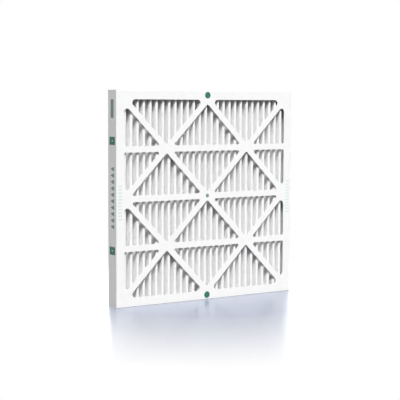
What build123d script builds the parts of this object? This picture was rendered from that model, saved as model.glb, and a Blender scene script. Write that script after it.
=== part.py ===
from build123d import *
import os
from math import asin, atan2, cos, degrees, floor, hypot, radians, sin, tan

# A pleated panel air filter for a ventilation rack.
# Its frame is two die-cut board trays, one nested in the other and glued, each with a lattice of
# straps across its face. Between the two faces stands one pleated sheet of filter cloth. A welded
# wire grid on the leaving side stiffens it, and adhesive seals its four edges to the walls.
# Lengths are in millimetres. +X is to the right, +Z is up, and air enters at -Y and leaves at +Y.
# The origin is the middle of the bottom, halfway through the depth.

# Overall size
width = 594.0
height = 594.0
depth = 44.45

# A round turn of the openings and of the cloth is made of equal chords, each about this many degrees
chord_turn = 22.5

# Board of both trays
board = 0.71
fold_inside = 0.3
glue_line = 0.12

# Lattice of each face
border = 25.4
strap = 17.0
crosses = 2
tip_radius = 9.0
strap_corner_radius = 4.0
square_corner_radius = 3.0
acute_limit = 60.0

# Walls and corner tabs
tab_length = 30.0
tab_corner = 5.0
tab_front_relief = 0.5
tab_short_of_rear = 4.0
tab_to_wall = 2.0
rear_wall_short = 1.0

# Pleated cloth
pleats_per_foot = 15
foot = 304.8
cloth = 1.6
fold_radius = 3.5
set_back = 3.0
first_pleat = 7.0
last_pleat = 11.0
end_leg = 12.0
wall_bend = 8.0

# Wire grid
wire = 0.9
wire_bond = 0.05
level_wire_pitch = 101.6
wire_end = 8.0

# Adhesive along the cloth's edges
seal = 1.2
seal_face_gap = 1.0

FRONT = Vector(0, -1, 0)
BACK = Vector(0, 1, 0)
UP = Vector(0, 0, 1)

# The trays
fold_outside = fold_inside + board
nest = board + glue_line
open_width = width - 2 * border
open_height = height - 2 * border
middle = height / 2

# The space inside both trays
inner_wall = nest + board
inner_width = width - 2 * inner_wall
cloth_height = height - 2 * (inner_wall + seal)
front_inside = -depth / 2 + board
rear_inside = depth / 2 - board

# Each fold of the cloth turns about a centre
outer_turn = fold_radius + cloth / 2
inner_turn = fold_radius - cloth / 2
front_centre = front_inside + set_back + outer_turn
rear_centre = rear_inside - glue_line - wire - wire_bond - outer_turn
cloth_left = -inner_width / 2 + seal
cloth_right = -cloth_left
pleated_run = cloth_right - cloth_left - first_pleat - last_pleat
pleats = 1 + floor(pleated_run * pleats_per_foot / foot + 0.5)
pitch = pleated_run / (pleats - 1)
centre_run = rear_centre - front_centre


def lean(across, along, radius):
    """The angle from the depth's direction of a line that leaves a turn tangent and reaches a point."""
    return atan2(across, along) - asin(radius / hypot(across, along))


# The flanks are tangent to the turns, and the two end flanks run to the side walls
flank = lean(pitch / 2, centre_run, 2 * fold_radius)
left_flank = lean(first_pleat - cloth / 2, centre_run - end_leg, fold_radius)
right_flank = lean(last_pleat - cloth / 2, centre_run - end_leg, fold_radius)


def strap_area(start, end):
    """The area of one straight strap whose centre line joins two points of the face."""
    run = Vector(*end) - Vector(*start)
    centre = (Vector(*start) + Vector(*end)) * 0.5
    angle = degrees(atan2(run.Y, run.X))
    return Pos(centre.X, centre.Y) * Rot(0, 0, angle) * Rectangle(run.length + 2 * strap, strap)


def strap_lines():
    """Centre lines of the straps: two diagonals in each cross, and a level strap at each half cross."""
    cross_width = open_width / crosses
    cross_height = open_height / crosses
    lines = []
    for column in range(crosses):
        left = column * cross_width - open_width / 2
        right = left + cross_width
        for row in range(crosses):
            low = border + row * cross_height
            high = low + cross_height
            lines.append(((left, low), (right, high)))
            lines.append(((left, high), (right, low)))
    for row in range(1, 2 * crosses):
        level = border + row * cross_height / 2
        lines.append(((-open_width / 2, level), (open_width / 2, level)))
    return lines


def corner_radius(corner, others):
    """The radius of one corner of a triangular opening: wide at an acute tip on the border."""
    at_side = abs(abs(corner.X) - open_width / 2) < glue_line
    at_end = abs(abs(corner.Y - middle) - open_height / 2) < glue_line
    if not (at_side or at_end):
        return strap_corner_radius
    first, second = (other - corner for other in others)
    return tip_radius if first.get_angle(second) < acute_limit else square_corner_radius


def rounded(corners):
    """Points of a closed outline. Each corner is a point and the radius that it is turned at."""
    points = []
    for index, (place, radius) in enumerate(corners):
        corner = Vector(*place)
        if radius == 0:
            points.append(corner)
            continue
        before = (Vector(*corners[index - 1][0]) - corner).normalized()
        after = (Vector(*corners[(index + 1) % len(corners)][0]) - corner).normalized()
        between = before.get_angle(after)
        centre = corner + (before + after).normalized() * (radius / sin(radians(between / 2)))
        arm = corner + before * (radius / tan(radians(between / 2))) - centre
        sweep = (180 - between) * (1 if before.cross(after).Z < 0 else -1)
        chords = max(1, round(abs(sweep) / chord_turn))
        points += [centre + arm.rotate(Axis.Z, sweep * step / chords) for step in range(chords + 1)]
    return points


def rounded_opening(triangle):
    """A triangular opening with its three corners rounded."""
    corners = [vertex.center() for vertex in triangle.vertices()]
    turns = [(c, corner_radius(c, [other for other in corners if other is not c])) for c in corners]
    return make_face(Polyline(*rounded(turns), close=True))


def lattice_openings():
    """The openings of a lattice face, drawn with the face's width along X and its height along Y."""
    window = Pos(0, middle) * Rectangle(open_width, open_height)
    for start, end in strap_lines():
        window -= strap_area(start, end)
    return [rounded_opening(triangle) for triangle in window.faces()]


def folded_edge(edge, inward, wallward, length, wall):
    """Board that turns from a face into a wall. The fold's outer edge is centred on a point."""
    outline = FilletPolyline(
        (fold_outside, 0),
        (0, 0),
        (0, wall),
        (board, wall),
        (board, board),
        (fold_outside, board),
        radius=[0, fold_outside, 0, 0, fold_inside, 0],
        close=True,
    )
    section = Plane(edge, x_dir=inward, z_dir=inward.cross(wallward)) * make_face(outline)
    return extrude(section, length / 2, both=True)


def tray(outer_width, outer_height, face, wallward, wall, side_length, end_length):
    """A lattice face with four folded walls. Only what lies between the folds is flat."""
    flat = Pos(0, middle) * Rectangle(outer_width, outer_height)
    for side in (-1, 1):
        flat -= Pos(side * (outer_width - fold_outside) / 2, middle) * Rectangle(fold_outside, side_length)
        flat -= Pos(0, middle + side * (outer_height - fold_outside) / 2) * Rectangle(end_length, fold_outside)
    for opening in lattice_openings():
        flat -= opening
    body = extrude(Plane((0, face, 0), x_dir=(1, 0, 0), z_dir=FRONT) * flat, board, dir=wallward)
    for side in (-1, 1):
        side_edge = Vector(side * outer_width / 2, face, middle)
        end_edge = Vector(0, face, middle + side * outer_height / 2)
        body += folded_edge(side_edge, Vector(-side, 0, 0), wallward, side_length, wall)
        body += folded_edge(end_edge, UP * -side, wallward, end_length, wall)
    return body


def corner_tab():
    """The upper right glue tab: the top wall's end, folded down against the right wall."""
    low = -depth / 2 + fold_outside + tab_front_relief
    high = depth / 2 - tab_short_of_rear
    edge = Vector(width / 2 - nest, (low + high) / 2, height)
    tab = folded_edge(edge, Vector(-1, 0, 0), UP * -1, high - low, tab_length)
    tip_corners = tab.edges().filter_by(Axis.X).group_by(Axis.Z)[0]
    return chamfer(tip_corners, tab_corner)


def front_frame():
    """The outer tray. Its side walls run the full height, over the tabs of its top and bottom walls."""
    end_length = width - 2 * (nest + fold_outside)
    frame = tray(width, height, -depth / 2, BACK, depth, height, end_length)
    right_tab = corner_tab()
    for tab in (right_tab, mirror(right_tab, Plane.YZ)):
        frame += tab
        frame += mirror(tab, Plane.XY.offset(middle))
    return frame


def rear_frame():
    """The inner tray. Its walls stop short of the corners, clear of the outer tray's tabs."""
    wall = depth - board - rear_wall_short
    corner = tab_length + tab_to_wall
    side_length = height - 2 * corner
    end_length = width - 2 * corner
    return tray(width - 2 * nest, height - 2 * nest, depth / 2, FRONT, wall, side_length, end_length)


def crest(number):
    """Where the front fold of a pleat stands across the width."""
    return cloth_left + first_pleat + number * pitch


def crest_corner(number, radius):
    """Where the tangents of a front fold meet. The flanks on its two sides may lean by different angles."""
    left_lean = left_flank if number == 0 else flank
    right_lean = right_flank if number == pleats - 1 else flank
    along = radius * (cos(left_lean) + cos(right_lean)) / sin(left_lean + right_lean)
    across = (radius - along * sin(right_lean)) / cos(right_lean)
    return crest(number) + across, front_centre - along


def wall_corner(across, radius, end_flank):
    """How deep an end flank meets a side wall that stands at a distance across from its crest."""
    return front_centre - radius / sin(end_flank) + across / tan(end_flank)


def cloth_side(front_radius, rear_radius, left, right):
    """One surface of the cloth as corner points and the radius of the turn at each."""
    rear_corner = rear_centre + rear_radius / sin(flank)
    at_left_wall = wall_corner(crest(0) - left, front_radius, left_flank)
    at_right_wall = wall_corner(right - crest(pleats - 1), front_radius, right_flank)
    bend = wall_bend + front_radius
    corners = [((left, rear_centre), 0), ((left, at_left_wall), bend)]
    for number in range(pleats - 1):
        corners.append((crest_corner(number, front_radius), front_radius))
        corners.append(((crest(number) + pitch / 2, rear_corner), rear_radius))
    corners.append((crest_corner(pleats - 1, front_radius), front_radius))
    return corners + [((right, at_right_wall), bend), ((right, rear_centre), 0)]


def standing(outline, low, length):
    """A solid of one outline, drawn from above, standing from a level up."""
    return Pos(0, 0, low) * extrude(make_face(outline), length)


def pleated_media():
    """The cloth: one sheet, folded about each turn and laid flat on the side seals at its two ends."""
    entering = cloth_side(outer_turn, inner_turn, cloth_left, cloth_right)
    leaving = cloth_side(inner_turn, outer_turn, cloth_left + cloth, cloth_right - cloth)
    outline = Polyline(*rounded(entering + leaving[::-1]), close=True)
    return standing(outline, inner_wall + seal, cloth_height)


def wire_side(front_distance, front_reach, rear_distance):
    """One side of a level wire, bent twice at each fold and parallel to the flanks between."""
    front_half = (front_distance - front_reach * sin(flank)) / cos(flank)
    rear_half = rear_distance * (1 - sin(flank)) / cos(flank)
    front = front_centre - front_reach
    back = rear_centre + rear_distance
    points = [(crest(0), front)]
    for number in range(pleats - 1):
        rear = crest(number) + pitch / 2
        points.append((crest(number) + front_half, front))
        points.append((rear - rear_half, back))
        points.append((rear + rear_half, back))
        points.append((crest(number + 1) - front_half, front))
    return points + [(crest(pleats - 1), front)]


def level_wires():
    """The wires across the pleats, from the first crest to the last, evenly spaced up the cloth."""
    front_distance = inner_turn - wire_bond
    reach = front_distance * sin(flank)
    near = wire_side(front_distance, reach, outer_turn + wire_bond)
    far = wire_side(front_distance - wire, reach - wire, outer_turn + wire_bond + wire)
    outline = Polyline(*near, *far[::-1], close=True)
    spaces = floor((cloth_height - 2 * wire_end) / level_wire_pitch)
    lowest = middle - spaces * level_wire_pitch / 2 - wire / 2
    return [standing(outline, lowest + row * level_wire_pitch, wire) for row in range(spaces + 1)]


def upright_wires():
    """The wires along the pleats, one on each side of a rear fold, welded to the level wires."""
    offset = cloth / 2 + wire_bond + 1.5 * wire
    half_way = (front_centre + rear_centre) / 2
    length = cloth_height - 2 * wire_end
    wires = []
    for number in range(pleats - 1):
        rear = crest(number) + pitch / 2
        for side in (-1, 1):
            x = rear + side * (pitch / 4 + offset * cos(flank))
            y = half_way + offset * sin(flank)
            turn = Rot(0, 0, side * degrees(flank))
            wires.append(Pos(x, y, middle) * turn * Box(wire, wire, length))
    return wires


def support_grid():
    """The welded grid, each crossing seated face to face."""
    return Compound(children=level_wires() + upright_wires())


def end_seal(side):
    """The adhesive strip at the top (1) or bottom (-1), between a wall and the pleats' cut ends."""
    level = middle + side * (cloth_height + seal) / 2
    return Pos(0, 0, level) * Box(inner_width, rear_inside - front_inside - 2 * seal_face_gap, seal)


def side_seal(side):
    """The adhesive strip between the left (-1) or right (1) wall and the flat end of the cloth."""
    low = rear_centre - end_leg
    high = rear_inside - seal_face_gap
    across = side * (inner_width - seal) / 2
    return Pos(across, (low + high) / 2, middle) * Box(seal, high - low, cloth_height)


def nodes():
    """Every piece of the filter, by name."""
    return {
        "front_frame": front_frame(),
        "rear_frame": rear_frame(),
        "pleated_media": pleated_media(),
        "support_grid": support_grid(),
        "top_seal": end_seal(1),
        "bottom_seal": end_seal(-1),
        "left_seal": side_seal(-1),
        "right_seal": side_seal(1),
    }


os.makedirs("parts", exist_ok=True)
for name, shape in nodes().items():
    export_step(shape, f"parts/{name}.step")
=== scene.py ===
import math

import bmesh
import bpy
from mathutils import Matrix, Vector, noise

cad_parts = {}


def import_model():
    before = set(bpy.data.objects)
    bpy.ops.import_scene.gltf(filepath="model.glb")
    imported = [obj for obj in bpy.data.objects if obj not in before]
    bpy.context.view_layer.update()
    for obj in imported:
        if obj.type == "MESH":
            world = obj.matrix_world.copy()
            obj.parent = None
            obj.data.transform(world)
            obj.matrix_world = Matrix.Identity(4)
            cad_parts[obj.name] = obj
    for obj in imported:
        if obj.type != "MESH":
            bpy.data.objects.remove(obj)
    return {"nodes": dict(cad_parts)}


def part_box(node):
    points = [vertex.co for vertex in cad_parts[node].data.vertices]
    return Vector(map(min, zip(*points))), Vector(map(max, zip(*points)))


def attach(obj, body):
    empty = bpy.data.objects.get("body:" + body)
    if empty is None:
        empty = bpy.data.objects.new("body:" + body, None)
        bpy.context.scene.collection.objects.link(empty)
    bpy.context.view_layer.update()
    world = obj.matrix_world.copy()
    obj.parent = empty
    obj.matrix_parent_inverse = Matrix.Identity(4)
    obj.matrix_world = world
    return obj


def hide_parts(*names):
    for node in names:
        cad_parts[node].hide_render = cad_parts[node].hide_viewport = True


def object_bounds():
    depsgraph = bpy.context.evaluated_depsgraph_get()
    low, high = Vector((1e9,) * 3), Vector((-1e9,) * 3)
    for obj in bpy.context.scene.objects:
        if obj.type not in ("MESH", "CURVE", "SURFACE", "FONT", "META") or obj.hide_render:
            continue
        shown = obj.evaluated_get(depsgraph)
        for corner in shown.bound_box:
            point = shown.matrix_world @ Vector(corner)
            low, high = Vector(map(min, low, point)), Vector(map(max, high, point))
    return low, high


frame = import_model()
cad_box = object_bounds()

# Lengths are in metres. The filter stands on its bottom edge, centred on X = 0 and Y = 0, and air
# enters through the face at its lowest Y.
MM = 0.001
DEGREE = math.radians(1)

low, high = cad_box
WIDTH = high.x - low.x
DEPTH = high.y - low.y
HEIGHT = high.z - low.z
BORDER = 25.4 * MM

# The camera stands off to the left of the entering face and looks a little down
VIEW_AZIMUTH = -33.647 * DEGREE
VIEW_ELEVATION = 4.648 * DEGREE
VIEW_ROLL = 0.240 * DEGREE
CAMERA_PLACE = Vector((-1.88412, -2.81533, 0.55833))
CAMERA_LENS = 106.97
CAMERA_SENSOR = 36.0

# The cloth's fold, by the same rules as its solid
CLOTH = 1.6 * MM
FOLD_RADIUS = 3.5 * MM
FIRST_PLEAT = 7.0 * MM
LAST_PLEAT = 11.0 * MM
END_LEG = 12.0 * MM
WALL_BEND = 8.0 * MM
PLEATS = 29

# Steps of the cloth's mesh round each turn, along each flank, and from its bottom to its top
TURN_STEPS = 8
FLANK_STEPS = 5
CLOTH_ROWS = 44

# How far the cloth strays from its true fold, sideways and in depth, and the waves of that per metre.
# The settling is one slice of the noise, and the last crest is pressed towards the right wall.
WANDER = 0.7 * MM
WANDER_WAVES = (38, 9, 5)
SETTLE = 0.4 * MM
SETTLE_WAVES = (60, 11)
SETTLE_SLICE = 4.0
LAST_PRESS = 4.0 * MM

# The welded wire grid on the leaving side. Each flank carries upright wires at two depths, measured
# from the middle of the fold.
WIRE = 0.9 * MM
LEVEL_PITCH = 25.4 * MM
UPRIGHT_DEPTHS = (-8.0 * MM, 10.0 * MM)
UPRIGHT_STEPS = 16
WIRE_END = 8.0 * MM
WIRE_SIDES = 5

# A face is level where its normal's Z is above this, and a wire is upright where its direction's Z is
LEVEL_FACE = 0.5
UPRIGHT_LINE = 0.9

cloth_low, cloth_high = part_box("pleated_media")
OUTER_TURN = FOLD_RADIUS + CLOTH / 2
PITCH = (cloth_high.x - cloth_low.x - FIRST_PLEAT - LAST_PLEAT) / (PLEATS - 1)
FRONT_CENTRE = cloth_low.y + OUTER_TURN
REAR_CENTRE = cloth_high.y - OUTER_TURN
CENTRE_RUN = REAR_CENTRE - FRONT_CENTRE
HALF_WAY = (FRONT_CENTRE + REAR_CENTRE) / 2


def lean(across, along, radius):
    """The angle from the depth's direction of a line that leaves a turn tangent and reaches a point."""
    return math.atan2(across, along) - math.asin(radius / math.hypot(across, along))


FLANK = lean(PITCH / 2, CENTRE_RUN, 2 * FOLD_RADIUS)
LEFT_FLANK = lean(FIRST_PLEAT - CLOTH / 2, CENTRE_RUN - END_LEG, FOLD_RADIUS)
RIGHT_FLANK = lean(LAST_PLEAT - CLOTH / 2, CENTRE_RUN - END_LEG, FOLD_RADIUS)


def crest(number):
    """Where the front fold of a pleat stands across the width."""
    return cloth_low.x + FIRST_PLEAT + number * PITCH


def arc(centre, radius, start, sweep):
    """Points round a centre, from one direction through a sweep."""
    for step in range(TURN_STEPS + 1):
        angle = start + sweep * step / TURN_STEPS
        yield (centre[0] + radius * math.cos(angle), centre[1] + radius * math.sin(angle))


def reach(points, turn):
    """Adds a turn to a line, with points along the straight stretch before it."""
    turn = list(turn)
    (x, y), (next_x, next_y) = points[-1], turn[0]
    for step in range(1, FLANK_STEPS):
        part = step / FLANK_STEPS
        points.append((x + (next_x - x) * part, y + (next_y - y) * part))
    points += turn


def wall_turn(side, offset):
    """The bend where an end flank meets the left (-1) or right (1) wall, and the flat leg beyond it."""
    flank, last = (LEFT_FLANK, 0) if side < 0 else (RIGHT_FLANK, PLEATS - 1)
    wall = (cloth_low.x if side < 0 else cloth_high.x) - side * (CLOTH / 2 + offset)
    turn = FOLD_RADIUS - offset
    corner = FRONT_CENTRE - turn / math.sin(flank) + abs(wall - crest(last)) / math.tan(flank)
    radius = WALL_BEND + turn
    centre = (wall - side * radius, corner + radius * math.tan(flank / 2))
    if side < 0:
        return [(wall, REAR_CENTRE), *arc(centre, radius, math.pi, flank)]
    return [*arc(centre, radius, -flank, flank), (wall, REAR_CENTRE)]


def fold_path(offset):
    """The folded cloth's line, seen from above and moved off its middle towards the leaving side."""
    points = wall_turn(-1, offset)
    for number in range(PLEATS):
        left = LEFT_FLANK if number == 0 else FLANK
        right = RIGHT_FLANK if number == PLEATS - 1 else FLANK
        front = (crest(number), FRONT_CENTRE)
        reach(points, arc(front, FOLD_RADIUS - offset, math.pi + left, math.pi - left - right))
        if number < PLEATS - 1:
            rear = (crest(number) + PITCH / 2, REAR_CENTRE)
            reach(points, arc(rear, FOLD_RADIUS + offset, math.pi - FLANK, 2 * FLANK - math.pi))
    reach(points, wall_turn(1, offset))
    return points


def wandered(x, y, z):
    """A point of the cloth where hands and glue left it, a little off the true fold."""
    edge = min(1.0, (x - cloth_low.x) / PITCH, (cloth_high.x - x) / PITCH)
    sway = Vector((x * WANDER_WAVES[0], y * WANDER_WAVES[1], z * WANDER_WAVES[2]))
    aside = noise.noise(sway) * WANDER * max(0.0, edge)
    dip = Vector((x * SETTLE_WAVES[0], SETTLE_SLICE, z * SETTLE_WAVES[1]))
    inward = (1 + noise.noise(dip)) * SETTLE * (HALF_WAY - y) / CENTRE_RUN
    last = crest(PLEATS - 1)
    rise = (x - last + PITCH / 2) / (PITCH / 2)
    fall = (cloth_high.x - OUTER_TURN - x) / (cloth_high.x - OUTER_TURN - last)
    pressed = LAST_PRESS * max(0.0, min(1.0, rise, fall))
    return Vector((x + aside + pressed, y + inward, z))


def new_object(name, data):
    """An object of a mesh, a lamp or a camera, linked into the scene."""
    piece = bpy.data.objects.new(name, data)
    bpy.context.scene.collection.objects.link(piece)
    return piece


def neighbours(points, index):
    """The points before and after one point of a line, or the point itself at an end."""
    return points[max(0, index - 1)], points[min(len(points) - 1, index + 1)]


def normals(points):
    """The left-hand normal at each point of a line."""
    found = []
    for index in range(len(points)):
        before, after = neighbours(points, index)
        along = Vector((after[0] - before[0], after[1] - before[1])).normalized()
        found.append(Vector((-along.y, along.x)))
    return found


def pleated_cloth():
    """The folded sheet, as thick as the real cloth, and its length when flat."""
    path = fold_path(0.0)
    sides = normals(path)
    last = len(path) - 1
    build = bmesh.new()
    rows = []
    for row in range(CLOTH_ROWS + 1):
        z = cloth_low.z + (cloth_high.z - cloth_low.z) * row / CLOTH_ROWS
        layer = []
        for side in (1, -1):
            ring = []
            for (x, y), normal in zip(path, sides):
                shift = normal * (side * CLOTH / 2)
                ring.append(build.verts.new(wandered(x + shift.x, y + shift.y, z)))
            layer.append(ring)
        rows.append(layer)
    for below, above in zip(rows, rows[1:]):
        for index in range(last):
            build.faces.new((below[0][index + 1], below[0][index], above[0][index], above[0][index + 1]))
            build.faces.new((below[1][index], below[1][index + 1], above[1][index + 1], above[1][index]))
        for end in (0, last):
            corners = (below[0][end], below[1][end], above[1][end], above[0][end])
            build.faces.new(corners if end else corners[::-1])
    for row, turn in ((rows[0], 1), (rows[-1], -1)):
        for index in range(last):
            corners = (row[0][index], row[0][index + 1], row[1][index + 1], row[1][index])
            build.faces.new(corners[::turn])
    bmesh.ops.recalc_face_normals(build, faces=build.faces)
    for face in build.faces:
        face.smooth = abs(face.normal.z) < LEVEL_FACE
    mesh = bpy.data.meshes.new("pleated_cloth")
    build.to_mesh(mesh)
    build.free()
    flat_length = sum(math.dist(a, b) for a, b in zip(path, path[1:]))
    return new_object("pleated_cloth", mesh), flat_length


def wire(build, points):
    """A round wire along points, closed at both ends."""
    rings = []
    for index, point in enumerate(points):
        before, after = neighbours(points, index)
        along = (after - before).normalized()
        if abs(along.z) > UPRIGHT_LINE:
            across = along.orthogonal()
        else:
            across = along.cross(Vector((0, 0, 1)))
        across.normalize()
        up = across.cross(along)
        ring = []
        for side in range(WIRE_SIDES):
            angle = 2 * math.pi * side / WIRE_SIDES
            spoke = across * math.cos(angle) + up * math.sin(angle)
            ring.append(build.verts.new(point + spoke * (WIRE / 2)))
        rings.append(ring)
    for a, b in zip(rings, rings[1:]):
        for side in range(WIRE_SIDES):
            following = (side + 1) % WIRE_SIDES
            build.faces.new((a[side], a[following], b[following], b[side])).smooth = True
    build.faces.new(rings[0][::-1])
    build.faces.new(rings[-1])


def wire_grid():
    """Level wires that follow the pleats, and upright wires welded behind them beside each rear fold."""
    build = bmesh.new()
    behind_cloth = CLOTH / 2 + WIRE / 2
    path = [(x, y) for x, y in fold_path(behind_cloth) if crest(0) <= x <= crest(PLEATS - 1)]
    middle = (cloth_low.z + cloth_high.z) / 2
    length = cloth_high.z - cloth_low.z - 2 * WIRE_END
    spaces = int(length / LEVEL_PITCH)
    for row in range(spaces + 1):
        z = middle + (row - spaces / 2) * LEVEL_PITCH
        wire(build, [wandered(x, y, z) for x, y in path])
    behind_wires = behind_cloth + WIRE
    levels = [middle + length * (step / UPRIGHT_STEPS - 0.5) for step in range(UPRIGHT_STEPS + 1)]
    for number in range(PLEATS - 1):
        for side in (-1, 1):
            for depth in UPRIGHT_DEPTHS:
                across = PITCH / 4 - depth * math.tan(FLANK) + behind_wires / math.cos(FLANK)
                x = crest(number) + PITCH / 2 + side * across
                wire(build, [wandered(x, HALF_WAY + depth, z) for z in levels])
    bmesh.ops.recalc_face_normals(build, faces=build.faces)
    mesh = bpy.data.meshes.new("welded_grid")
    build.to_mesh(mesh)
    build.free()
    return new_object("welded_grid", mesh)


# A colour mix node keeps its two colours and its mixed colour at these places among its sockets
MIX_A = 6
MIX_B = 7
MIX_RESULT = 2


class Nodes:
    """The node tree of a material or a world, with short calls for its nodes."""

    def __init__(self, owner, output):
        owner.use_nodes = True
        self.owner = owner
        self.tree = owner.node_tree
        self.tree.nodes.clear()
        self.output = self.add(output)

    def add(self, kind, inputs=None, **settings):
        """A new node, with its settings and then its inputs, by name or by place."""
        node = self.tree.nodes.new(kind)
        for key, value in settings.items():
            setattr(node, key, value)
        for key, value in (inputs or {}).items():
            self.feed(node.inputs[key], value)
        return node

    def feed(self, socket, value):
        """Links a socket to another one, or sets the socket's own value."""
        if isinstance(value, bpy.types.NodeSocket):
            self.tree.links.new(value, socket)
        else:
            socket.default_value = value

    def math(self, operation, *values):
        """The result of one operation on numbers."""
        return self.add("ShaderNodeMath", dict(enumerate(values)), operation=operation).outputs[0]

    def spot(self):
        """The place on the object, in metres."""
        return self.add("ShaderNodeTexCoord").outputs["Object"]

    def split(self, vector):
        """The X, Y and Z of a vector."""
        return self.add("ShaderNodeSeparateXYZ", {"Vector": vector}).outputs

    def noise(self, vector, scale, detail, roughness):
        """Smooth noise, mostly between 0.3 and 0.7."""
        inputs = {"Vector": vector, "Scale": scale, "Detail": detail, "Roughness": roughness}
        return self.add("ShaderNodeTexNoise", inputs).outputs[0]

    def ranged(self, value, from_low, from_high, to_low=0.0, to_high=1.0):
        """A value carried from one range to another, and held within it."""
        inputs = dict(enumerate((value, from_low, from_high, to_low, to_high)))
        return self.add("ShaderNodeMapRange", inputs).outputs[0]

    def mix(self, factor, a, b, blend="MIX"):
        """Colour a where factor is 0, and colour b blended over it where factor is 1."""
        inputs = {"Factor": factor, MIX_A: a, MIX_B: b}
        return self.add("ShaderNodeMix", inputs, data_type="RGBA", blend_type=blend).outputs[MIX_RESULT]

    def within(self, value, centre, half, soft):
        """1 where a value lies within half of a centre, falling to 0 over a soft edge."""
        away = self.math("ABSOLUTE", self.math("SUBTRACT", value, centre))
        return self.ranged(away, half - soft, half + soft, 1.0, 0.0)

    def both(self, a, b):
        """The product of two masks, or a mask at a weight."""
        return self.math("MULTIPLY", a, b)

    def either(self, a, b):
        """The greater of two masks."""
        return self.math("MAXIMUM", a, b)

    def surface(self, colour, roughness, relief, bump, fixed):
        """The material's shader, with a relief's bump (strength, distance) and its fixed numbers."""
        inputs = {"Strength": bump[0], "Distance": bump[1], "Height": relief}
        normal = self.add("ShaderNodeBump", inputs).outputs[0]
        shader = self.add("ShaderNodeBsdfPrincipled", {"Base Color": colour, "Normal": normal})
        self.feed(shader.inputs["Roughness"], roughness)
        for name, number in fixed.items():
            shader.inputs[name].default_value = number
        self.feed(self.output.inputs["Surface"], shader.outputs[0])
        return self.owner

    def by_ray(self, thrown, seen):
        """Gives out one shader as light on other surfaces, and shows another to the camera and gloss."""
        path = self.add("ShaderNodeLightPath")
        looked_at = self.either(path.outputs["Is Camera Ray"], path.outputs["Is Glossy Ray"])
        inputs = {0: looked_at, 1: thrown.outputs[0], 2: seen.outputs[0]}
        self.feed(self.output.inputs["Surface"], self.add("ShaderNodeMixShader", inputs).outputs[0])
        return self.owner


def material_nodes(name):
    """The empty node tree of a new material."""
    return Nodes(bpy.data.materials.new(name), "ShaderNodeOutputMaterial")


WHITE = (1, 1, 1, 1)
GREEN_INK = (0.025, 0.16, 0.105, 1)
GREY_INK = (0.20, 0.29, 0.25, 1)
PALE_INK = (0.66, 0.79, 0.73, 1)
INK_EDGE = 0.25 * MM

# Marks on the left wall: the level of each, and half its size along the depth and the height. An
# arrowhead stands upright at its tail's Y and narrows from there by its slope.
BAR_LEVEL = 543 * MM
BAR_HALF = (8 * MM, 25 * MM)
BLOCK_LEVELS = (456 * MM, 156 * MM)
BLOCK_HALF = (15 * MM, 11 * MM)
BLOCK_HOLE = 2.4 * MM
ARROW_LEVELS = [(222 + 17.5 * step) * MM for step in range(10)]
ARROW_HALF = 7.0 * MM
ARROW_TAIL = -10.0 * MM
ARROW_SLOPE = 0.36

# Marks on the entering face. The dashes stand in two rows, each given by its X and its middle level.
END_DISC = 9.5 * MM
CENTRE_DOT = 5.5 * MM
DASH_HALF = (6.0 * MM, 2.0 * MM)
DASH_STEP = 9.0 * MM
DASH_RUN = 50 * MM
DASH_ROWS = ((-WIDTH / 2 + 12 * MM, 288 * MM), (WIDTH / 2 - 10 * MM, 284 * MM))


def distance(nodes, a, b, centre_a, centre_b):
    """How far a point lies from a centre, in two directions."""
    da = nodes.math("SUBTRACT", a, centre_a)
    db = nodes.math("SUBTRACT", b, centre_b)
    return nodes.math("SQRT", nodes.math("ADD", nodes.both(da, da), nodes.both(db, db)))


def disc(nodes, a, b, level, radius):
    """1 inside a disc on the middle line, at a level."""
    return nodes.within(distance(nodes, a, b, 0.0, level), 0.0, radius, INK_EDGE)


def rectangle(nodes, a, b, level, half):
    """1 inside a rectangle on the middle line, at a level."""
    return nodes.both(nodes.within(b, level, half[1], INK_EDGE), nodes.within(a, 0.0, half[0], INK_EDGE))


def arrowhead(nodes, y, z, level):
    """1 inside a triangle that points along the air's way."""
    past_tail = nodes.math("SUBTRACT", y, ARROW_TAIL)
    up = nodes.math("ABSOLUTE", nodes.math("SUBTRACT", z, level))
    slope = nodes.math("ADD", up, nodes.both(past_tail, ARROW_SLOPE))
    sides = nodes.ranged(slope, ARROW_HALF - INK_EDGE, ARROW_HALF + INK_EDGE, 1.0, 0.0)
    return nodes.both(sides, nodes.ranged(past_tail, -INK_EDGE, INK_EDGE))


def wall_marks(nodes, y, z):
    """Ink on the left wall: a bar with the arrowheads, and two blocks with a clear dot."""
    lines = rectangle(nodes, y, z, BAR_LEVEL, BAR_HALF)
    for level in ARROW_LEVELS:
        lines = nodes.either(lines, arrowhead(nodes, y, z, level))
    blocks = 0.0
    for level in BLOCK_LEVELS:
        block = rectangle(nodes, y, z, level, BLOCK_HALF)
        hole = disc(nodes, y, z, level, BLOCK_HOLE)
        blocks = nodes.either(blocks, nodes.math("SUBTRACT", block, hole))
    return lines, blocks


def face_marks(nodes, x, z):
    """Ink on the entering face: discs at the middle of the top and bottom, a dot, and rows of dashes."""
    discs = 0.0
    for level in (BORDER / 2, HEIGHT - BORDER / 2):
        discs = nodes.either(discs, disc(nodes, x, z, level, END_DISC))
    dot = disc(nodes, x, z, HEIGHT / 2, CENTRE_DOT)
    dashes = 0.0
    for column, level in DASH_ROWS:
        step = nodes.math("PINGPONG", nodes.math("SUBTRACT", z, level), DASH_STEP / 2)
        inked = nodes.ranged(step, DASH_HALF[1], DASH_HALF[1] + INK_EDGE, 1.0, 0.0)
        row = nodes.both(nodes.within(x, column, DASH_HALF[0], INK_EDGE), inked)
        dashes = nodes.either(dashes, nodes.both(row, nodes.within(z, level, DASH_RUN, INK_EDGE)))
    return discs, dot, dashes


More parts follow.
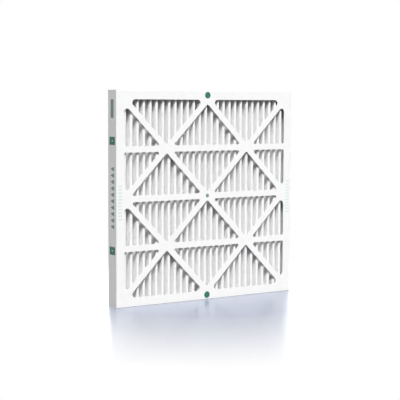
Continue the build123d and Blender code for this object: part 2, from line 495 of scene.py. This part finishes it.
# Each noise is given as its scale, detail and roughness, and each range as the values that it goes from
# and those that it goes to
WHITE_BOARD = (0.90, 0.90, 0.905, 1)
BARE_BOARD = (0.74, 0.72, 0.68, 1)
BARE_FIBRE = (0.80, 0.785, 0.75, 1)
CUT_EDGE = (0.66, 0.64, 0.60, 1)
MOTTLE = (55.0, 4.0, 0.6)
MOTTLE_SHADE = (0.3, 0.7, 0.965, 1.0)
MOTTLE_ROUGHNESS = (0.3, 0.7, 0.46, 0.58)
BARE_ROUGHNESS = 0.85
FIBRE = (900.0, 3.0, 0.65)
FIBRE_SHOWS = (0.35, 0.65)
FIBRE_THROUGH_INK = (0.25, 0.45, 0.8, 1.0)
BOARD_WAVE = (14.0, 2.0, 0.5)
WAVE_HEIGHT = 0.6
FIBRE_HEIGHT = 0.03
BOARD_BUMP = (0.25, 1.2 * MM)

# The coat lies within the skin's depth of the outside. A cut edge is a face whose normal's Y is small
# and that lies clear of the outer walls. Scuffs keep to a strip along each outer fold.
SKIN = 0.12 * MM
CUT_FACING = (0.05, 0.2, 1.0, 0.0)
CUT_CLEAR = 3.0 * MM
CUT_SOFT = 0.2 * MM
CUT_FADE = 0.5 * MM
FOLD_WEAR = 1.6 * MM
SCUFF = (160.0, 4.0, 0.7)
SCUFF_SHOWS = (0.42, 0.6, 0.1, 0.75)


def cut_edges(nodes, x, z):
    """1 on faces that don't look along the depth and lie clear of the outer walls."""
    normal = nodes.split(nodes.add("ShaderNodeNewGeometry").outputs["Normal"])
    turned = nodes.ranged(nodes.math("ABSOLUTE", normal[1]), *CUT_FACING)
    inner = WIDTH / 2 - CUT_CLEAR
    clear_x = nodes.ranged(nodes.math("ABSOLUTE", x), inner, inner + CUT_FADE, 1.0, 0.0)
    clear_z = nodes.within(z, HEIGHT / 2, HEIGHT / 2 - CUT_CLEAR, CUT_SOFT)
    return nodes.both(turned, nodes.both(clear_x, clear_z))


def scuffed_folds(nodes, spot, x, y, raised):
    """A patchy mask along the folds, where two of the filter's outer faces meet."""
    near = []
    for away, half in ((x, WIDTH / 2), (y, DEPTH / 2), (raised, HEIGHT / 2)):
        near.append(nodes.ranged(nodes.math("ABSOLUTE", away), half - FOLD_WEAR, half))
    folds = nodes.both(near[0], near[1])
    for a, b in ((1, 2), (0, 2)):
        folds = nodes.either(folds, nodes.both(near[a], near[b]))
    return nodes.both(folds, nodes.ranged(nodes.noise(spot, *SCUFF), *SCUFF_SHOWS))


def printed(nodes, colour, face, fibre, x, y, z):
    """A board's colour with the marks over it, in ink that the fibres show through."""
    wall = nodes.ranged(x, -WIDTH / 2 + SKIN, -WIDTH / 2 + SKIN * 2, 1.0, 0.0)
    lines, blocks = wall_marks(nodes, y, z)
    discs, dot, dashes = face_marks(nodes, x, z)
    worn = nodes.ranged(fibre, *FIBRE_THROUGH_INK)
    inks = (
        (wall, lines, GREY_INK),
        (wall, blocks, GREEN_INK),
        (face, discs, GREEN_INK),
        (face, dot, GREY_INK),
        (face, dashes, PALE_INK),
    )
    for side, mark, ink in inks:
        colour = nodes.mix(nodes.both(nodes.both(side, mark), worn), colour, ink)
    return colour


def board_material(name, outer_face):
    """Clay-coated white board, bare inside. Its outer face looks to the lowest (-1) or highest (1) Y."""
    nodes = material_nodes(name)
    spot = nodes.spot()
    x, y, z = nodes.split(spot)
    raised = nodes.math("SUBTRACT", z, HEIGHT / 2)
    if outer_face < 0:
        face = nodes.ranged(y, -DEPTH / 2 + SKIN, -DEPTH / 2 + SKIN * 2, 1.0, 0.0)
        outside = face
        for away, half in ((x, WIDTH / 2), (raised, HEIGHT / 2)):
            wall = nodes.ranged(nodes.math("ABSOLUTE", away), half - SKIN * 2, half - SKIN)
            outside = nodes.either(outside, wall)
    else:
        outside = nodes.ranged(y, DEPTH / 2 - SKIN * 2, DEPTH / 2 - SKIN)

    mottle = nodes.noise(spot, *MOTTLE)
    fibre = nodes.noise(spot, *FIBRE)
    shade = nodes.ranged(mottle, *MOTTLE_SHADE)
    grey = nodes.add("ShaderNodeCombineColor", {"Red": shade, "Green": shade, "Blue": shade}).outputs[0]
    coated = nodes.mix(1.0, WHITE_BOARD, grey, "MULTIPLY")
    bare = nodes.mix(nodes.ranged(fibre, *FIBRE_SHOWS), BARE_BOARD, BARE_FIBRE)
    colour = nodes.mix(outside, bare, coated)
    colour = nodes.mix(cut_edges(nodes, x, z), colour, CUT_EDGE)
    colour = nodes.mix(scuffed_folds(nodes, spot, x, y, raised), colour, BARE_BOARD)
    if outer_face < 0:
        colour = printed(nodes, colour, face, fibre, x, y, z)

    roughness = nodes.ranged(outside, 0.0, 1.0, BARE_ROUGHNESS, nodes.ranged(mottle, *MOTTLE_ROUGHNESS))
    wave = nodes.noise(spot, *BOARD_WAVE)
    relief = nodes.math("ADD", nodes.both(wave, WAVE_HEIGHT), nodes.both(fibre, FIBRE_HEIGHT))
    return nodes.surface(colour, roughness, relief, BOARD_BUMP, {"Specular IOR Level": 0.35})


CLOTH_DULL = (0.87, 0.87, 0.88, 1)
CLOTH_BRIGHT = (0.93, 0.93, 0.93, 1)
CLOTH_THIN = (0.72, 0.72, 0.74, 1)
CLOTH_STRAND = (0.96, 0.96, 0.96, 1)
CLOUD = (70.0, 3.0, 0.55)
CLOUD_SHOWS = (0.3, 0.7)
CLUMP = (330.0, 4.0, 0.65)
CLUMP_THINS = (0.25, 0.5, 0.5, 0.0)
CLUMP_HEIGHT = 1.2
FUZZ = (1800.0, 2.0, 0.7)
FUZZ_HEIGHT = 0.5
CLOTH_ROUGHNESS = 0.95
CLOTH_BUMP = (0.5, 0.7 * MM)

# Strands follow the borders between cells, at two scales with a weight each, pulled aside by a swirl
STRAND_WEBS = ((700.0, 0.6), (1250.0, 0.4))
STRAND_EDGE = (0.0, 0.12, 1.0, 0.0)
STRAND_COLOUR = 0.5
STRAND_HEIGHT = 0.5
SWIRL = {"Scale": 160.0, "Detail": 2.0}
SWIRL_PULL = 4.0 * MM


def strands(nodes, spot):
    """A tangle of fine lines, brighter where the lines of both scales cross."""
    swirl = nodes.add("ShaderNodeTexNoise", {"Vector": spot, **SWIRL}).outputs["Color"]
    pull = nodes.add("ShaderNodeVectorMath", {0: swirl, "Scale": SWIRL_PULL}, operation="SCALE")
    bent = nodes.add("ShaderNodeVectorMath", {0: spot, 1: pull.outputs[0]}, operation="ADD").outputs[0]
    tangle = 0.0
    for scale, weight in STRAND_WEBS:
        inputs = {"Vector": bent, "Scale": scale}
        web = nodes.add("ShaderNodeTexVoronoi", inputs, feature="DISTANCE_TO_EDGE")
        line = nodes.ranged(web.outputs["Distance"], *STRAND_EDGE)
        tangle = nodes.math("ADD", tangle, nodes.both(line, weight))
    return tangle


def cloth_material():
    """Lofty white nonwoven: tangled fibres over thinner clumps and a faint cloudiness."""
    nodes = material_nodes("nonwoven_cloth")
    spot = nodes.spot()
    cloud = nodes.noise(spot, *CLOUD)
    clump = nodes.noise(spot, *CLUMP)
    fuzz = nodes.noise(spot, *FUZZ)
    tangle = strands(nodes, spot)
    colour = nodes.mix(nodes.ranged(cloud, *CLOUD_SHOWS), CLOTH_DULL, CLOTH_BRIGHT)
    colour = nodes.mix(nodes.ranged(clump, *CLUMP_THINS), colour, CLOTH_THIN)
    colour = nodes.mix(nodes.both(tangle, STRAND_COLOUR), colour, CLOTH_STRAND)
    relief = cloud
    for layer, height in ((fuzz, FUZZ_HEIGHT), (tangle, STRAND_HEIGHT), (clump, CLUMP_HEIGHT)):
        relief = nodes.math("ADD", relief, nodes.both(layer, height))
    fixed = {"Specular IOR Level": 0.1, "Sheen Weight": 0.15, "Sheen Roughness": 0.6}
    return nodes.surface(colour, CLOTH_ROUGHNESS, relief, CLOTH_BUMP, fixed)


WIRE_DULL = (0.42, 0.43, 0.44, 1)
WIRE_BRIGHT = (0.66, 0.67, 0.68, 1)
SPANGLE = (420.0, 3.0, 0.6)
SPANGLE_SHOWS = (0.3, 0.7)
SPANGLE_ROUGHNESS = (0.3, 0.7, 0.32, 0.55)
WIRE_BUMP = (0.3, 0.1 * MM)


def wire_material():
    """Galvanised wire, with the spangle's uneven shine."""
    nodes = material_nodes("galvanised_wire")
    spangle = nodes.noise(nodes.spot(), *SPANGLE)
    colour = nodes.mix(nodes.ranged(spangle, *SPANGLE_SHOWS), WIRE_DULL, WIRE_BRIGHT)
    roughness = nodes.ranged(spangle, *SPANGLE_ROUGHNESS)
    return nodes.surface(colour, roughness, spangle, WIRE_BUMP, {"Metallic": 1.0})


ADHESIVE_DEEP = (0.80, 0.78, 0.70, 1)
ADHESIVE_HIGH = (0.88, 0.87, 0.82, 1)
LUMPS = (240.0, 4.0, 0.6)
LUMPS_SHOW = (0.3, 0.7)
LUMPS_ROUGHNESS = (0.3, 0.7, 0.35, 0.6)
ADHESIVE_BUMP = (0.7, 0.8 * MM)


def adhesive_material():
    """Dried white adhesive, lumpy and a little yellow."""
    nodes = material_nodes("dried_adhesive")
    lumps = nodes.noise(nodes.spot(), *LUMPS)
    colour = nodes.mix(nodes.ranged(lumps, *LUMPS_SHOW), ADHESIVE_DEEP, ADHESIVE_HIGH)
    return nodes.surface(colour, nodes.ranged(lumps, *LUMPS_ROUGHNESS), lumps, ADHESIVE_BUMP, {})


def paint(piece, material):
    """Gives a piece one material."""
    piece.data.materials.clear()
    piece.data.materials.append(material)


def direction(azimuth, elevation):
    """The way out from the filter, turned from its entering face to the right, and raised."""
    level = math.cos(elevation)
    return Vector((math.sin(azimuth) * level, -math.cos(azimuth) * level, math.sin(elevation)))


def camera():
    """The camera at the photograph's viewing angle."""
    back = direction(VIEW_AZIMUTH, VIEW_ELEVATION)
    right = (-back).cross(Vector((0, 0, 1))).normalized()
    up = right.cross(-back)
    rolled_right = right * math.cos(VIEW_ROLL) + up * math.sin(VIEW_ROLL)
    rolled_up = up * math.cos(VIEW_ROLL) - right * math.sin(VIEW_ROLL)
    data = bpy.data.cameras.new("camera")
    data.lens = CAMERA_LENS
    data.sensor_width = CAMERA_SENSOR
    piece = new_object("camera", data)
    turn = Matrix((rolled_right, rolled_up, back)).transposed()
    piece.matrix_world = Matrix.Translation(CAMERA_PLACE) @ turn.to_4x4()
    bpy.context.scene.camera = piece


# A sun lamp lights alike from any distance, so this only keeps it clear of the filter
LAMP_AWAY = 4.0


def lamp(name, azimuth, elevation, spread, strength):
    """A wide soft lamp that lights the filter evenly from top to bottom."""
    data = bpy.data.lights.new(name, "SUN")
    data.angle = spread * DEGREE
    data.energy = strength
    piece = new_object(name, data)
    away = direction(azimuth * DEGREE, elevation * DEGREE)
    piece.location = Vector((0, 0, HEIGHT / 2)) + away * LAMP_AWAY
    piece.rotation_mode = "QUATERNION"
    piece.rotation_quaternion = away.to_track_quat("Z", "Y")


def world(strength):
    """An even white surround, which throws less light than it shows."""
    nodes = Nodes(bpy.data.worlds.new("surround"), "ShaderNodeOutputWorld")
    light = nodes.add("ShaderNodeBackground", {"Color": WHITE, "Strength": strength})
    seen = nodes.add("ShaderNodeBackground", {"Color": WHITE, "Strength": 1.0})
    bpy.context.scene.world = nodes.by_ray(light, seen)


# The floor fades to white between these distances, and throws less light back than its colour would
FLOOR_SIZE = 40.0
FLOOR_NEAR = 0.3
FLOOR_FAR = 0.9
FLOOR_COLOUR = (0.27, 0.30, 0.38, 1)
FLOOR_ROUGHNESS = 0.22
FLOOR_THROW = (0.12, 0.12, 0.12, 1)


def floor_material():
    """A pale glossy floor near the filter, and plain white further out."""
    nodes = material_nodes("pale_floor")
    x, y, _ = nodes.split(nodes.spot())
    fade = nodes.ranged(distance(nodes, x, y, 0.0, 0.0), FLOOR_NEAR, FLOOR_FAR)
    gloss = {"Base Color": FLOOR_COLOUR, "Roughness": FLOOR_ROUGHNESS}
    near = nodes.add("ShaderNodeBsdfPrincipled", gloss)
    far = nodes.add("ShaderNodeEmission", {"Color": WHITE, "Strength": 1.0})
    seen = nodes.add("ShaderNodeMixShader", {0: fade, 1: near.outputs[0], 2: far.outputs[0]})
    return nodes.by_ray(nodes.add("ShaderNodeBsdfDiffuse", {"Color": FLOOR_THROW}), seen)


def floor():
    """A floor with the object's shadow, which fades into the white surround."""
    half = FLOOR_SIZE / 2
    corners = [(-half, -half, 0), (half, -half, 0), (half, half, 0), (-half, half, 0)]
    mesh = bpy.data.meshes.new("floor")
    mesh.from_pydata(corners, [], [(0, 1, 2, 3)])
    piece = new_object("floor", mesh)
    paint(piece, floor_material())


def dress():
    """The looks of every piece of the filter."""
    cad = frame["nodes"]
    paint(cad["front_frame"], board_material("front_board", -1))
    paint(cad["rear_frame"], board_material("rear_board", 1))
    glue = adhesive_material()
    for name in ("top_seal", "bottom_seal", "left_seal", "right_seal"):
        paint(cad[name], glue)

    cloth, flat_length = pleated_cloth()
    paint(cloth, cloth_material())
    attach(cloth, "root")
    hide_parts("pleated_media")

    grid = wire_grid()
    paint(grid, wire_material())
    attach(grid, "root")
    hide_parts("support_grid")


camera()
world(strength=0.06)
lamp("key", azimuth=-22, elevation=57, spread=24, strength=5.75)
lamp("behind", azimuth=150, elevation=28, spread=30, strength=3.6)
floor()
dress()

bpy.context.scene.view_settings.view_transform = "Standard"
